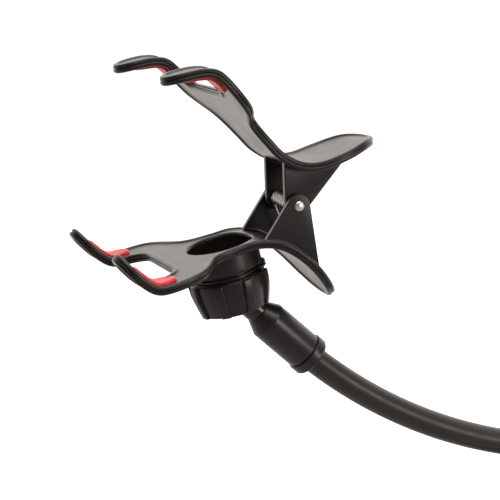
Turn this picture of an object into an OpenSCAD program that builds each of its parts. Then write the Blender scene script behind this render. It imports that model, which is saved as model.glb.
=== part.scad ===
// Spring clip on a ball joint and a gooseneck, with a lever suction base.
// Frame: +Z up, origin at the centre of the suction face, the clip over -X.
// The clip is drawn in its own frame and placed by head():
//   x from the gripping side to the handles, y along the hinge pin,
//   z from the lower jaw to the upper jaw, origin between the claws.

/* [Clip] */
// Distance from the gripped face to the hinge pin
pin_x = 49.3; // [48.5:0.1:50.5]
// Height of the hinge pin above the clip's middle
pin_z = 0.5; // [0:0.1:1]
// Half the width of the handles
handle_hw = 15; // [14.4:0.2:16]
// Half the width over the two claws
claw_hw = 34; // [33:0.5:36]
// Width of one claw
claw_w = 13; // [12:0.5:14]
// Thickness of the jaw at its rim
rim_t = 3; // [2.8:0.1:3.2]
// Width of the raised rim
rim_w = 1.8; // [1.5:0.1:2]
// Depth of the web below the rim, on each side
web_sink = 0.5; // [0.3:0.1:0.6]
// Thickness of a grip pad
pad_t = 1.5; // [1.2:0.1:1.6]
// How much flatter the lower handle runs than the upper one
low_drop = 1; // [0:0.1:1.2]
// Lean of the clip away from the user, degrees
lean = 15.9; // [14:0.1:18]

/* [Hinge] */
// Radius of the round end of a cheek
cheek_r = 4; // [3.8:0.1:4.2]
// Thickness of a cheek
cheek_t = 2.1; // [1.8:0.1:2.2]
// Outer face of the upper jaw's cheeks, from the middle
cheek_in = 10.2; // [10:0.1:10.3]
// Inner face of the lower jaw's cheeks, from the middle
cheek_out = 10.7; // [10.6:0.1:10.9]
// Radius of the rivet
pin_r = 1; // [0.9:0.05:1.05]
// Radius of the rivet's head
head_r = 1.7; // [1.5:0.1:1.9]
// Radius of the spring wire
wire_r = 0.38; // [0.35:0.01:0.42]
// Mean radius of the spring's coils
coil_r = 2.55; // [2.2:0.05:2.7]
// Number of coils
coils = 8; // [7:1:12]

/* [Ball joint] */
// Radius of the ball
ball_r = 7.5; // [7.4:0.05:7.55]
// Radius of the threaded collar on the jaw
thread_r = 12; // [11.8:0.05:12.1]
// Running clearance of the nut on the collar, radial
nut_gap = 0.06; // [0.04:0.01:0.08]
// Number of grip ribs on the nut
ribs = 8; // [6:1:10]
// Width of a grip rib
rib_w = 3; // [2.4:0.2:3.4]
// Radius of the boss over the nut
boss_r = 12.9; // [12.7:0.1:13.2]
// Radius of the opening in the lower jaw
well_r = 11.2; // [10.8:0.1:11.4]
// Radius of the stem
stem_r = 6.85; // [6.6:0.05:7]
// Radius of the ring at each end of the arm
ring_r = 7.35; // [7.2:0.05:7.6]

/* [Arm] */
// Outer radius of the arm's sleeve
arm_r = 4.7; // [4.5:0.05:4.75]
// Radius of the arm's core
core_r = 3.5; // [3:0.1:3.6]
// Radius of the upper bend
bend_a = 188; // [186:1:190]
// Radius of the lower bend
bend_b = 46; // [45:1:47]
// Place of the arm's foot on the base
arm_x = 16; // [16:0.5:17]
// Height at which the lower bend starts
foot_z = 57.6; // [57:0.1:58.5]

/* [Base] */
// Radius of the suction cup
cup_r = 34; // [33:0.5:36]
// Radius of the housing
house_r = 31.5; // [30.5:0.5:32]
// Height of the lever's pin
lever_z = 21; // [20.8:0.1:21.2]
// Lift of the stud between released and locked
lift = 2.2; // [2:0.1:2.3]
// Width of the lever's handle
lever_w = 22; // [20:1:24]
// Reach of the lever from its pin
lever_l = 33; // [30:1:35]

/* [Part shown] */
// One node, or all of them

/* [Hidden] */
$fn = 64;
black = [0.16, 0.155, 0.15];
dark = [0.12, 0.12, 0.12];
red = [0.86, 0.2, 0.22];
nickel = [0.85, 0.84, 0.8];
steel = [0.7, 0.7, 0.7];

// the clip's frame in the part's frame
head_at = [-166, 0, 211.6];
// the ball's centre in the clip's frame, and the nut's tilt there
ball_at = [37.7, 0, -33.1];
nut_tilt = -30;
// the stem's direction below the horizontal, from the ball
stem_down = 41.5;
// the arm's heading where it leaves the stem, and between its bends
head_a = 39.4;
head_b = 10;
ball_row = [head_at[0] + cos(lean) * ball_at[0] + sin(lean) * ball_at[2], 0,
            head_at[2] - sin(lean) * ball_at[0] + cos(lean) * ball_at[2]];
cen_b = [arm_x - bend_b, 0, foot_z];
cen_a = [cen_b[0] + (bend_b + bend_a) * sin(head_b), 0,
         cen_b[2] + (bend_b + bend_a) * cos(head_b)];

module head() { translate(head_at) rotate([0, lean, 0]) children(); }
// frame at the ball's centre, z up the nut's axis to the jaw
module nut_frame() { head() translate(ball_at) rotate([0, nut_tilt, 0]) children(); }
// frame at the ball's centre, z down the stem
module stem_frame() { translate(ball_row) rotate([0, 90 + stem_down, 0]) children(); }
// a shape drawn in x and z, as a slab from y0 to y1
module slab(y0, y1) { translate([0, y1, 0]) rotate([90, 0, 0]) linear_extrude(y1 - y0) children(); }

// smooth curve through the points p, n steps a span
function cr_pt(a, b, c, d, t) = 0.5 * ((2 * b) + (c - a) * t + (2 * a - 5 * b + 4 * c - d) * t * t
    + (3 * b - a - 3 * c + d) * t * t * t);
function cr(p, n) = let (m = len(p)) concat(
    [for (i = [0:m - 2]) for (j = [0:n - 1])
        cr_pt(p[max(i - 1, 0)], p[i], p[i + 1], p[min(i + 2, m - 1)], j / n)], [p[m - 1]]);
function unit(v) = v / norm(v);
// the open curve p moved by d to its right-hand side
function off(p, d) = let (m = len(p)) [for (i = [0:m - 1])
    let (t = unit(p[min(i + 1, m - 1)] - p[max(i - 1, 0)])) p[i] + d * [t[1], -t[0]]];
// the closed curve p moved by d to its right-hand side
function off_c(p, d) = let (m = len(p)) [for (i = [0:m - 1])
    let (t = unit(p[(i + 1) % m] - p[(i + m - 1) % m])) p[i] + d * [t[1], -t[0]]];
function rev(p) = [for (i = [len(p) - 1:-1:0]) p[i]];
function arc(c, r, a0, a1, n) = [for (i = [0:n]) c + r * [cos(a0 + (a1 - a0) * i / n), sin(a0 + (a1 - a0) * i / n)]];

// outer face of a jaw, from the claw's tip to the handle's tip
function face(drop) = cr([for (q = [[-14.8, 29.9, 0], [-8.8, 33.6, 0], [-3.2, 36.3, 0], [1.6, 37.2, 0],
    [6.2, 35.6, 0], [14.9, 30.4, 0], [24.6, 24.7, 0], [32.4, 20.1, 0], [38.6, 16.7, 0], [45.4, 15.4, 0.1],
    [51.8, 16.9, 0.5], [58.9, 21.5, 2.1], [66.4, 27, 3.1], [70.6, 29, 2.5], [74.4, 29.9, 1.5]])
    [q[0], q[1] - drop * q[2]]], 5);
// half of a jaw's outline seen from above, from the handle's tip to the middle of the claws
half_out = concat(
    cr([[74, 0], [73.4, 3.2], [71.6, 6.8], [68.8, 10.3], [65.6, handle_hw - 2], [61.5, handle_hw],
        [56.5, handle_hw + 0.8], [50, handle_hw + 0.4]], 4),
    cr([[34, handle_hw], [28.6, handle_hw + 0.8], [24.8, handle_hw + 2.8], [22.2, handle_hw + 7],
        [20, handle_hw + 11.6], [17, claw_hw - 3], [12.6, claw_hw - 0.8], [7, claw_hw]], 4),
    arc([-8.3, claw_hw - claw_w / 2], claw_w / 2, 90, 270, 20),
    arc([5, claw_hw - claw_w - 7], 7, 90, 0, 8));
plan = concat(half_out, rev([for (q = half_out) if (q[1] > 0) [q[0], -q[1]]]));

module sheet(drop, d0, d1) {
    f = face(drop);
    slab(-40, 40) polygon(concat(off(f, d0), rev(off(f, d1))));
}
module column(p) { translate([0, 0, -5]) linear_extrude(50) polygon(p); }

// web with a raised rim and a groove along its edge
module shell(drop) {
    difference() {
        intersection() { sheet(drop, 0, rim_t); column(plan); }
        intersection() { sheet(drop, -1, web_sink); column(off_c(plan, -rim_w)); }
        intersection() { sheet(drop, rim_t - web_sink, rim_t + 1); column(off_c(plan, -rim_w)); }
        difference() {
            sheet(drop, rim_t * 0.42, rim_t * 0.56);
            column(off_c(plan, -0.4));
        }
    }
}

// one cheek in x and z: from the jaw's web down to the round end at the pin
function tang(c, r, p, s) = let (v = p - c, a = atan2(v[1], v[0]) + s * acos(r / norm(v))) c + r * [cos(a), sin(a)];
module cheek(drop, pz) {
    web = [for (q = off(face(drop), rim_t - web_sink - 0.6)) if (q[0] > 41.2 && q[0] < 62.4) q];
    c = [pin_x, pz];
    a = web[0]; b = web[len(web) - 1];
    difference() {
        union() {
            polygon(concat(web, [tang(c, cheek_r, b, -1), c, tang(c, cheek_r, a, 1)]));
            translate(c) circle(cheek_r);
        }
        translate(c) circle(pin_r + 0.04);
    }
}

// a jaw as it lies above the clip's middle: y0 is the inner face of its cheeks
module jaw(drop, y0, pz) {
    shell(drop);
    slab(y0, y0 + cheek_t) cheek(drop, pz);
    slab(-y0 - cheek_t, -y0) cheek(drop, pz);
}

// collar for the ball: well, boss, thread and spring fingers
module collar_body() {
    difference() {
        union() {
            translate([0, 0, 7.5]) cylinder(r = boss_r, h = 7.6);
            translate([0, 0, -3.7]) cylinder(r = thread_r, h = 11.4);
            rotate([0, 0, -16]) translate([11, -1.2, 5.1]) cube([2.6, 2.4, 2.6]);
        }
        // thread showing between the boss and the nut
        for (z = [5.3, 6.5]) translate([0, 0, z]) rotate_extrude() polygon([[thread_r - 0.5, 0], [thread_r + 0.4, -0.5], [thread_r + 0.4, 0.5]]);
        collar_inside();
        for (a = [29, 119]) rotate([0, 0, a]) translate([-boss_r - 1, -0.6, -4]) cube([2 * boss_r + 2, 1.2, 10.6]);
    }
}
module collar_inside() {
    sphere(r = ball_r + 0.08);
    translate([0, 0, 4.6]) cylinder(r1 = 6.2, r2 = well_r, h = 3.4);
    translate([0, 0, 7.9]) cylinder(r = well_r, h = 12);
}

module lower_jaw() {
    color(black) {
        difference() {
            head() mirror([0, 0, 1]) jaw(low_drop, cheek_out, -pin_z);
            nut_frame() translate([0, 0, 7.9]) cylinder(r = well_r, h = 12);
        }
        nut_frame() collar_body();
    }
}
module upper_jaw() { color(black) head() jaw(0, cheek_in - cheek_t, pin_z); }

// grip pad on the inside of a claw, s = -1 near, 1 far
module pad(s, drop) {
    f = face(drop);
    y = s * (claw_hw - claw_w / 2);
    w = claw_w / 2 - rim_w - 0.15;
    intersection() {
        slab(-40, 40) polygon(concat(off(f, rim_t - web_sink), rev(off(f, rim_t - web_sink + pad_t))));
        translate([0, 0, -5]) linear_extrude(50) polygon(concat(
            arc([-4.2, y], w, 90, 270, 16), arc([5, y], w, 270, 450, 16)));
    }
}
module upper_pad_near() { color(red) head() pad(-1, 0); }
module upper_pad_far() { color(red) head() pad(1, 0); }
module lower_pad_near() { color(red) head() mirror([0, 0, 1]) pad(-1, low_drop); }
module lower_pad_far() { color(red) head() mirror([0, 0, 1]) pad(1, low_drop); }

// rivet with a round head at each end
module pivot_pin() {
    e = cheek_out + cheek_t;
    color(nickel) head() translate([pin_x, 0, pin_z]) rotate([90, 0, 0]) {
        cylinder(r = pin_r, h = 2 * e + 0.6, center = true);
        for (s = [-1, 1]) rotate([0, s > 0 ? 0 : 180, 0]) translate([0, 0, e + 0.1]) intersection() {
            translate([0, 0, -1.45]) sphere(r = 2.25);
            cylinder(r = head_r, h = 1);
        }
    }
}

// tube of radius r along the points p, with k sides
function frames(p) = [for (i = [0:len(p) - 1]) unit(p[min(i + 1, len(p) - 1)] - p[max(i - 1, 0)])];
function side(t, u) = unit(cross(t, u));
module tube_along(p, r, k, u) {
    t = frames(p);
    n = len(p);
    v = [for (i = [0:n - 1]) let (a = side(t[i], u[i]), b = cross(t[i], a))
        for (j = [0:k - 1]) p[i] + r * (cos(360 * j / k) * a + sin(360 * j / k) * b)];
    polyhedron(v, concat([[for (j = [0:k - 1]) j]], [[for (j = [k - 1:-1:0]) (n - 1) * k + j]],
        [for (i = [0:n - 2]) for (j = [0:k - 1])
            [i * k + j, (i + 1) * k + j, (i + 1) * k + (j + 1) % k, i * k + (j + 1) % k]]), 4);
}
// torsion spring: coils about the pin, a leg to each handle
spring_l = 13;
spring_n = 16;
module clip_spring() {
    a0 = 142; a1 = a0 + 360 * coils + 76;
    n = floor((coils + 0.21) * spring_n);
    coil = [for (i = [0:n]) let (a = a0 + (a1 - a0) * i / n)
        [coil_r * cos(a), -spring_l / 2 + spring_l * i / n, coil_r * sin(a)]];
    p0 = coil[0]; p1 = coil[n];
    d0 = [sin(a0), 0, -cos(a0)]; d1 = [-sin(a1), 0, cos(a1)];
    leg0 = [p0 + 19.2 * d0, p0 + 13 * d0, p0 + 7 * d0, p0 + 2 * d0];
    leg1 = [p1 + 2 * d1, p1 + 7 * d1, p1 + 12 * d1, p1 + 18 * d1];
    pts = concat(leg0, coil, leg1);
    color(steel) head() translate([pin_x, 0, pin_z]) rotate([3, 0, 0])
        tube_along(pts, wire_r, 8, [for (q = pts) [0, 1, 0]]);
}

// collar nut: tapered body with grip ribs, open below for the stem
module collar_nut() {
    outer = [[13.2, 4.7], [13, 2], [12.8, 0], [12.3, -3], [11.4, -7.15]];
    color(black) nut_frame() difference() {
        union() {
            rotate_extrude() polygon(concat([[0, -7.15], [0, 4.7]], [[12.9, 4.7], [13.2, 4.4]], [for (i = [1:4]) outer[i]]));
            intersection() {
                rotate_extrude() polygon([[0, -7.15], [0, 4.7], [13.9, 4.7], [14.2, 4.3], [13.9, 1.5], [13.6, -0.5], [13.1, -3.2], [12.3, -6.6], [11.8, -7.15]]);
                for (i = [0:ribs - 1]) rotate([0, 0, 11.6 + 360 * i / ribs])
                    translate([10.6, -rib_w / 2, -8]) cube([5, rib_w, 14]);
            }
        }
        translate([0, 0, -4]) cylinder(r = thread_r + nut_gap, h = 10);
        translate([0, 0, -7.2]) cylinder(r1 = 10.8, r2 = 8.4, h = 3.3);
    }
}

// ball, neck and the spigot inside the stem
module ball_stud() {
    color(dark) stem_frame() {
        sphere(r = ball_r);
        translate([0, 0, 6.9]) cylinder(r1 = 2.9, r2 = 4.3, h = 2);
        translate([0, 0, 6.2]) cylinder(r = 2.7, h = 2);
        translate([0, 0, 8.9]) cylinder(r = 4.3, h = 4.4);
        translate([0, 0, 13]) cylinder(r = 3, h = 12);
    }
}
// cone and sleeve that hold the ball's spigot and the arm's end
module stem_sleeve() {
    color(black) stem_frame() difference() {
        union() {
            translate([0, 0, 13.3]) cylinder(r1 = 4.5, r2 = stem_r, h = 4.9);
            translate([0, 0, 18.2]) cylinder(r = stem_r, h = 17.7);
            translate([0, 0, 35.6]) cylinder(r = stem_r - 0.5, h = 0.8);
        }
        translate([0, 0, 13]) cylinder(r = 3, h = 12);
        translate([0, 0, 26.5]) cylinder(r = arm_r, h = 12);
    }
}
module end_ring(h) {
    difference() {
        rotate_extrude() polygon([[0, 0], [ring_r - 0.3, 0], [ring_r, 0.3], [ring_r, h - 0.5], [ring_r - 0.5, h], [0, h]]);
        translate([0, 0, -1]) cylinder(r = arm_r + 0.15, h = h + 2);
    }
}
module stem_ring() { color(black) stem_frame() translate([0, 0, 36.4]) end_ring(3.9); }

// the arm's centre line: a straight end in the stem, a wide bend, a tight bend
// and a straight foot
function down(d, s) = [ball_row[0] + s * cos(d), 0, ball_row[2] - s * sin(d)];
arm_path = concat(
    [for (s = [27, 31, 35, 38.6]) down(stem_down, s)],
    [for (i = [1:20]) let (a = head_a - (head_a - head_b) * i / 20)
        [cen_a[0] - bend_a * sin(a), 0, cen_a[2] - bend_a * cos(a)]],
    [for (i = [1:16]) let (a = head_b + (90 - head_b) * i / 16)
        [cen_b[0] + bend_b * sin(a), 0, cen_b[2] + bend_b * cos(a)]],
    [[arm_x, 0, 46], [arm_x, 0, 38], [arm_x, 0, 30.4]]);
arm_up = [for (q = arm_path) [0, 1, 0]];
module arm_sleeve() {
    n = len(arm_path);
    color(black) difference() {
        tube_along(arm_path, arm_r, 32, arm_up);
        tube_along(concat([down(stem_down, 26)], [for (i = [1:n - 2]) arm_path[i]], [[arm_x, 0, 29]]), core_r, 20, arm_up);
    }
}
module arm_core() { color(dark) tube_along(arm_path, core_r - 0.04, 20, arm_up); }

// sleeve and ring at the arm's foot
module ferrule() {
    color(black) translate([arm_x, 0, 0]) difference() {
        union() {
            translate([0, 0, 31]) cylinder(r = stem_r, h = 13.2);
            translate([0, 0, 20]) cylinder(r = 6.2, h = 12);
            translate([0, 0, 44]) cylinder(r = stem_r - 0.5, h = 0.6);
        }
        translate([0, 0, 30]) cylinder(r = arm_r, h = 20);
        // seat for the screw's point
        translate([0, 0, 26]) rotate([90, 0, 0]) cylinder(r = 1, h = 8);
    }
}
module ferrule_ring() { color(black) translate([arm_x, 0, 44.6]) end_ring(3.9); }
// set screw that holds the ferrule in the housing
module ferrule_screw() {
    color(steel) translate([arm_x, 0, 26]) rotate([90, 0, 0]) difference() {
        union() {
            translate([0, 0, 5.4]) cylinder(r = 1, h = 1.2);
            translate([0, 0, 6.3]) cylinder(r = 1.5, h = 2.6);
        }
        translate([0, 0, 7.6]) cylinder(r = 0.85, h = 3, $fn = 6);
    }
}

// round housing over the cup, with a deck for the lever and a tower for the arm
module base_housing() {
    color(black) difference() {
        union() {
            rotate_extrude() polygon([[0, 4.2], [house_r - 0.4, 4.2], [house_r, 4.6], [house_r, 8], [house_r - 0.8, 9.8],
                [house_r - 2.6, 11.6], [house_r - 5.2, 13], [house_r - 8.4, 13.8], [house_r - 11, 14], [0, 14]]);
            translate([arm_x, 0, 12]) cylinder(r = 9.2, h = 18);
            translate([arm_x, 0, 30]) cylinder(r1 = 9.2, r2 = 8.4, h = 0.9);
        }
        rotate_extrude() polygon([[0, 3], [house_r - 2, 3], [house_r - 2, 7.6], [house_r - 4.5, 9.8], [house_r - 8, 11], [11, 11.6], [0, 11.6]]);
        // way for the stud
        translate([0, 0, 10]) cylinder(r = 3.56, h = 6);
        // socket for the ferrule
        translate([arm_x, 0, 20]) cylinder(r = 6.2, h = 14);
        // thread of the set screw
        translate([arm_x, 0, 26]) rotate([90, 0, 0]) cylinder(r = 1.5, h = 12);
    }
}

// soft cup: flat lip, dished underside, boss with the stud's pocket, pull tab
module suction_cup() {
    color(dark) difference() {
        union() {
            rotate_extrude() polygon([[0, 2.7], [8, 2.6], [20, 1.6], [29.5, 0], [cup_r - 0.4, 0], [cup_r, 0.5], [cup_r - 0.6, 1.4],
                [house_r - 1, 3.9], [24, 4.6], [12, 5.6], [9.6, 6.4], [9.6, 9.8], [9.2, 10.2], [0, 10.2]]);
            translate([cup_r - 2.4, -6, 0.3]) cube([9, 12, 1.4]);
            translate([cup_r + 6.6, 0, 0.3]) cylinder(r = 6, h = 1.4);
        }
        translate([0, 0, 4.1]) cylinder(r = 7.4, h = 4.5);
        translate([0, 0, 8]) cylinder(r = 4, h = 4);
    }
}
// stud drawn up by the lever
module cup_stud() {
    color(steel) difference() {
        union() {
            translate([0, 0, 6.5]) cylinder(r = 7, h = 1.6);
            translate([0, 0, 8]) cylinder(r = 3.5, h = lever_z + 3.7 - 8);
        }
        translate([0, 0, lever_z]) rotate([90, 0, 0]) cylinder(r = 1.55, h = 10, center = true);
    }
}
// lever with a cam on each side of the stud
module cam_lever() {
    color(black) translate([0, 0, lever_z]) difference() {
        union() {
            for (s = [-1, 1]) slab(s > 0 ? 3.9 : -7.4, s > 0 ? 7.4 : -3.9) {
                circle(4.5);
                translate([0, -4]) circle(2.4);
                translate([-2.4, -4]) square([4.8, 4]);
                translate([-9, -3.6]) square([9, 6.4]);
            }
            intersection() {
                slab(-20, 20) polygon(concat(off(lever_top, 0), rev(off(lever_top, 3))));
                translate([0, 0, -20]) linear_extrude(30) polygon(concat([[-5.6, -7.4], [-5.6, 7.4]],
                    [[-9, 7.8], [-13, lever_w / 2 - 0.6], [-16, lever_w / 2]],
                    arc([-lever_l + 9, 0], lever_w / 2, 115, 245, 16),
                    [[-16, -lever_w / 2], [-13, -lever_w / 2 + 0.6], [-9, -7.8]]));
            }
        }
        rotate([90, 0, 0]) cylinder(r = 1.5, h = 40, center = true);
    }
}
lever_top = cr([[-36, -1.2], [-30, 0.6], [-22, 2], [-14, 2.6], [-9, 2.8], [-5.6, 2.8]], 4);
module lever_pin() { color(nickel) translate([0, 0, lever_z]) rotate([90, 0, 0]) cylinder(r = 1.5, h = 15.2, center = true); }

lower_jaw();
upper_jaw();
upper_pad_near();
upper_pad_far();
lower_pad_near();
lower_pad_far();
pivot_pin();
clip_spring();
collar_nut();
ball_stud();
stem_sleeve();
stem_ring();
arm_sleeve();
arm_core();
ferrule();
ferrule_ring();
ferrule_screw();
base_housing();
suction_cup();
cup_stud();
cam_lever();
lever_pin();
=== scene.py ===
import math

import bmesh
import bpy
import numpy as np
from mathutils import Matrix, Vector
from mathutils.geometry import delaunay_2d_cdt


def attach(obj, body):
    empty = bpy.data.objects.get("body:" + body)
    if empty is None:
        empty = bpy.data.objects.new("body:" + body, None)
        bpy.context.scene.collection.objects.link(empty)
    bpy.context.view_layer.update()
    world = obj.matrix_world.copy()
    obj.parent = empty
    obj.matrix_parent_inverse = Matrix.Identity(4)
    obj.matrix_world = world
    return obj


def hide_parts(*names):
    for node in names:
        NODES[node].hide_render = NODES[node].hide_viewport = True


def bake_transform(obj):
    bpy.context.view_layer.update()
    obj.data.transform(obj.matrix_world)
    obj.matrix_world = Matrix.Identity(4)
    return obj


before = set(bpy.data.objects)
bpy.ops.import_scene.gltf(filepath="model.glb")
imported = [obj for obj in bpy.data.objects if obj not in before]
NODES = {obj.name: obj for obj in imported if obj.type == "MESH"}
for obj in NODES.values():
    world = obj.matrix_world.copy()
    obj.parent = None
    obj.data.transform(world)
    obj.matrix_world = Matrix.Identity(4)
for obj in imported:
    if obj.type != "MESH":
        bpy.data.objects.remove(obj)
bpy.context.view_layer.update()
scene = bpy.context.scene

# ---------------------------------------------------------------- frames, mm
LEAN = 15.9
HEAD = ((-166.0, 0.0, 211.6), LEAN)
BALL_H = (37.7, -33.1)


def spin(a):
    c, s = math.cos(math.radians(a)), math.sin(math.radians(a))
    return np.array([[c, 0, s], [0, 1, 0], [-s, 0, c]])


def into(fr, p):
    """Points in mm in a frame (origin, turn about Y) as metres in the row frame."""
    return (np.asarray(p, float) @ spin(fr[1]).T + np.array(fr[0])) / 1000


BALL = into(HEAD, [[BALL_H[0], 0, BALL_H[1]]])[0] * 1000
NUT = (tuple(BALL), LEAN - 30.0)
STEM = (tuple(BALL), 90 + 41.5)
ROW = ((0.0, 0.0, 0.0), 0.0)
PIN_X, PIN_Z = 49.3, 0.5


# ---------------------------------------------------------------- mesh helpers
def smooth_by(me, deg):
    me.polygons.foreach_set("use_smooth", [True] * len(me.polygons))
    me.set_sharp_from_angle(angle=math.radians(deg))
    me.update()


def make(name, verts, faces, fr=ROW, deg=40, weld=0.0, flip=False, recalc=True):
    me = bpy.data.meshes.new(name)
    me.from_pydata([tuple(v) for v in into(fr, verts)], [], [tuple(f) for f in faces])
    bm = bmesh.new()
    bm.from_mesh(me)
    if weld:
        bmesh.ops.remove_doubles(bm, verts=bm.verts, dist=weld / 1000)
    if recalc:
        bmesh.ops.recalc_face_normals(bm, faces=bm.faces)
    if flip:
        bmesh.ops.reverse_faces(bm, faces=bm.faces)
    bm.to_mesh(me)
    bm.free()
    smooth_by(me, deg)
    o = bpy.data.objects.new(name, me)
    scene.collection.objects.link(o)
    return o


def join(name, objs, deg=40):
    """Several meshes as one object; each stays a closed shell of its own."""
    verts, faces, base = [], [], 0
    for o in objs:
        co = np.array([v.co for v in o.data.vertices], float).reshape(-1, 3) * 1000
        verts.append(co)
        faces += [[i + base for i in p.vertices] for p in o.data.polygons]
        base += len(co)
        bpy.data.objects.remove(o)
    return make(name, np.vstack(verts), faces, deg=deg, recalc=False)


def catmull(p, n):
    p = np.asarray(p, float)
    m = len(p)
    out = []
    for i in range(m - 1):
        a, b, c, d = p[max(i - 1, 0)], p[i], p[i + 1], p[min(i + 2, m - 1)]
        for j in range(n):
            t = j / n
            out.append(0.5 * (2 * b + (c - a) * t + (2 * a - 5 * b + 4 * c - d) * t * t
                              + (3 * b - a - 3 * c + d) * t ** 3))
    out.append(p[-1])
    return np.array(out)


def arc(c, r, a0, a1, n):
    a = np.radians(np.linspace(a0, a1, n + 1))
    return np.stack([c[0] + r * np.cos(a), c[1] + r * np.sin(a)], 1)


def rounded(pts, n=5):
    """Open or closed outline from (x, y, radius) corners; an end keeps its place."""
    out = []
    m = len(pts)
    for i, q in enumerate(pts):
        p, r = np.array(q[:2], float), (q[2] if len(q) > 2 else 0)
        if i in (0, m - 1) or r <= 0:
            out.append(p)
            continue
        a, b = np.array(pts[i - 1][:2], float) - p, np.array(pts[i + 1][:2], float) - p
        la, lb = np.linalg.norm(a), np.linalg.norm(b)
        a, b = a / la, b / lb
        half = math.acos(max(-1, min(1, float(a @ b)))) / 2
        if half > math.pi / 2 - 0.01:
            out.append(p)
            continue
        t = min(r / math.tan(half), la * 0.49, lb * 0.49)
        r2 = t * math.tan(half)
        mid = (a + b) / np.linalg.norm(a + b)
        c = p + mid * (r2 / math.sin(half))
        s, e = p + a * t - c, p + b * t - c
        a0 = math.atan2(s[1], s[0])
        da = (math.atan2(e[1], e[0]) - a0 + math.pi) % (2 * math.pi) - math.pi
        for k in range(n + 1):
            w = a0 + da * k / n
            out.append(c + r2 * np.array([math.cos(w), math.sin(w)]))
    return np.array(out)


def grid_faces(rows, cols, wrap=True, base=0):
    f = []
    for i in range(rows - 1):
        for j in range(cols if wrap else cols - 1):
            k = (j + 1) % cols
            f.append([base + i * cols + j, base + i * cols + k, base + (i + 1) * cols + k, base + (i + 1) * cols + j])
    return f


def lathe(name, prof, fr, segs=96, deg=32, radial=None, closed=True):
    """Profile (r, z) turned about the frame's Z. radial(theta, r, z) may change r."""
    prof = np.asarray(prof, float)
    th = np.linspace(0, 2 * math.pi, segs, endpoint=False)
    verts = []
    for r, z in prof:
        rr = np.full(segs, r) if radial is None else radial(th, r, z)
        verts.append(np.stack([rr * np.cos(th), rr * np.sin(th), np.full(segs, z)], 1))
    verts = np.vstack(verts)
    f = grid_faces(len(prof), segs)
    n = len(prof)
    if closed:
        f += [[(n - 1) * segs + j, (n - 1) * segs + (j + 1) % segs, (j + 1) % segs, j] for j in range(segs)]
    o = make(name, verts, f, fr, deg, weld=1e-4)
    return o


def prism(name, pts, y0, y1, fr, bevel=0.3, deg=35, holes=()):
    """Outline in x and z drawn out along y, with rounded edges."""
    rings = [(bevel, 0.0), (bevel * 0.62, bevel * 0.08), (bevel * 0.29, bevel * 0.29), (bevel * 0.08, bevel * 0.62), (0.0, bevel)]
    pts = np.asarray(pts, float)
    area = 0.5 * np.sum(pts[:, 0] * np.roll(pts[:, 1], -1) - np.roll(pts[:, 0], -1) * pts[:, 1])
    if area < 0:
        pts = pts[::-1]
    m = len(pts)

    def inset(d):
        e0 = pts - np.roll(pts, 1, 0)
        e1 = np.roll(pts, -1, 0) - pts
        n0 = np.stack([-e0[:, 1], e0[:, 0]], 1) / np.maximum(np.linalg.norm(e0, axis=1), 1e-9)[:, None]
        n1 = np.stack([-e1[:, 1], e1[:, 0]], 1) / np.maximum(np.linalg.norm(e1, axis=1), 1e-9)[:, None]
        b = n0 + n1
        b /= np.maximum(np.sum(b * n1, 1), 0.35)[:, None]
        return pts + d * b

    verts, loops = [], []
    seq = [(i, y0 + h) for i, h in rings] + [(i, y1 - h) for i, h in rings[::-1]]
    for i, y in seq:
        q = inset(i)
        verts.append(np.stack([q[:, 0], np.full(m, y), q[:, 1]], 1))
    f = grid_faces(len(seq), m)
    v = np.vstack(verts)
    f.append(list(range(m))[::-1])
    f.append([(len(seq) - 1) * m + j for j in range(m)])
    o = make(name, v, f, fr, deg)
    return o


def tube(name, pts, rad, k=24, up=(0, 1, 0), fr=ROW, deg=40, cap=0.0):
    """Round tube along points, ends closed; rad is one radius or one a point."""
    p = np.asarray(pts, float)
    n = len(p)
    r = np.full(n, rad) if np.isscalar(rad) else np.asarray(rad, float)
    t = np.gradient(p, axis=0)
    t /= np.linalg.norm(t, axis=1)[:, None]
    a = np.cross(t, np.array(up, float))
    a /= np.linalg.norm(a, axis=1)[:, None]
    b = np.cross(t, a)
    th = np.linspace(0, 2 * math.pi, k, endpoint=False)
    verts = [p[i] + r[i] * (np.cos(th)[:, None] * a[i] + np.sin(th)[:, None] * b[i]) for i in range(n)]
    f = grid_faces(n, k)
    f.append(list(range(k))[::-1])
    f.append([(n - 1) * k + j for j in range(k)])
    return make(name, np.vstack(verts), f, fr, deg)


# ---------------------------------------------------------------- the jaws
RIM_T, RIM_W, SINK = 3.0, 1.8, 0.5
HW, CW, CLAW = 15.0, 34.0, 13.0
FACE = [(-14.8, 29.9, 0), (-8.8, 33.6, 0), (-3.2, 36.3, 0), (1.6, 37.2, 0), (6.2, 35.6, 0), (14.9, 30.4, 0), (24.6, 24.7, 0),
        (32.4, 20.1, 0), (38.6, 16.7, 0), (45.4, 15.4, 0.1), (51.8, 16.9, 0.5), (58.9, 21.5, 2.1), (66.4, 27, 3.1),
        (70.6, 29, 2.5), (74.4, 29.9, 1.5)]


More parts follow.
